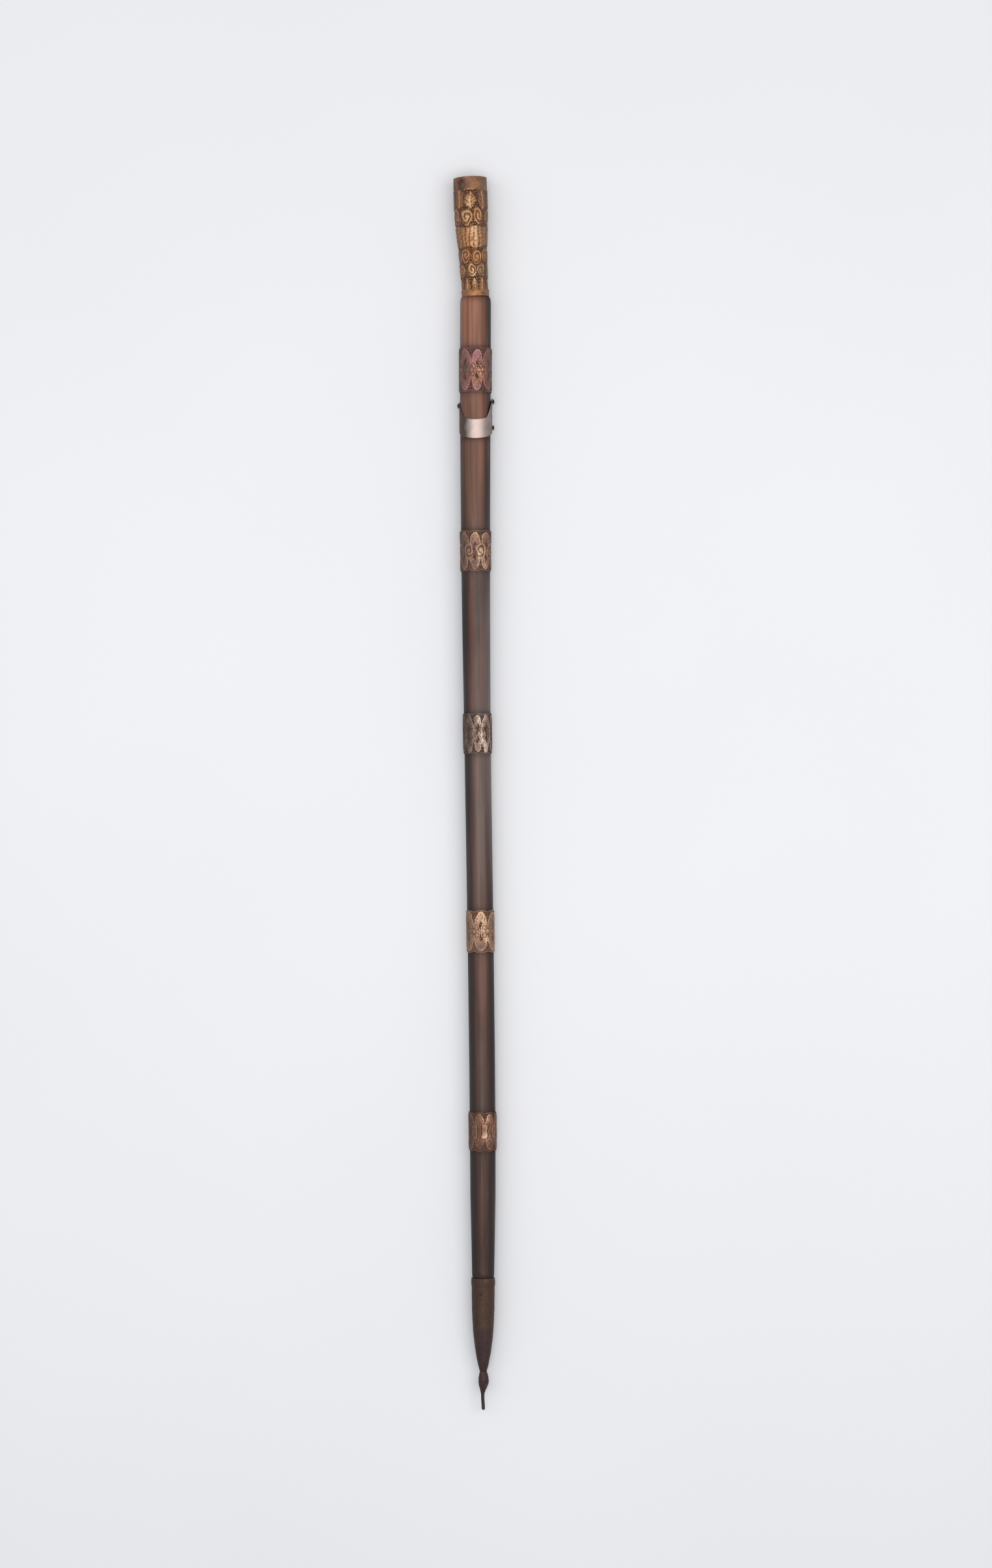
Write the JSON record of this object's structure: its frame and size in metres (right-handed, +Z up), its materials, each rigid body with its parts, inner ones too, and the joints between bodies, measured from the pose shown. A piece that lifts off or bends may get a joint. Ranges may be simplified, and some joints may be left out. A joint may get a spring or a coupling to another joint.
{
  "type": "staff of office",
  "caption": "Ceremonial staff lying down: tapering wooden shaft, embossed brass grip, embossed metal bands, silver collar and iron ferrule with a spike.",
  "frame": {"origin": "centre of the lying staff's footprint, on the surface that it lies on", "axes": "+Y along the staff towards its grip, +Z up out of the surface, +X to the right when the grip points away"},
  "size_m": [0.0369, 1.15, 0.0317],
  "materials": {
    "lacquered_wood": "glossy old lacquer, reddish brown above and dark brown below",
    "gilt_brass": "embossed and gilt, dark in the hollows",
    "band_copper": "embossed sheet, worn bright on its high spots",
    "band_copper_gold": "embossed sheet, worn bright on its high spots",
    "band_silver_gilt": "embossed sheet, worn bright on its high spots",
    "band_pale_gold": "embossed sheet, worn bright on its high spots",
    "band_orange_gold": "embossed sheet, worn bright on its high spots",
    "silver": "plain polished silver, tarnished at its sides",
    "dark_iron": "dark hammered iron",
    "rusted_iron": "brown rust patina"
  },
  "bodies": {
    "root": {"band_1": "band_copper", "band_2": "band_copper_gold", "band_3": "band_silver_gilt", "band_4": "band_pale_gold", "band_5": "band_orange_gold", "ear_rivet_left": "dark_iron", "ear_rivet_right": "dark_iron", "ferrule": "rusted_iron", "ferrule_nail": "dark_iron", "handle_sleeve": "gilt_brass", "seam_rivet": "dark_iron", "shaft": "lacquered_wood", "silver_collar": "silver", "spike": "rusted_iron"}
  },
  "joints": []
}
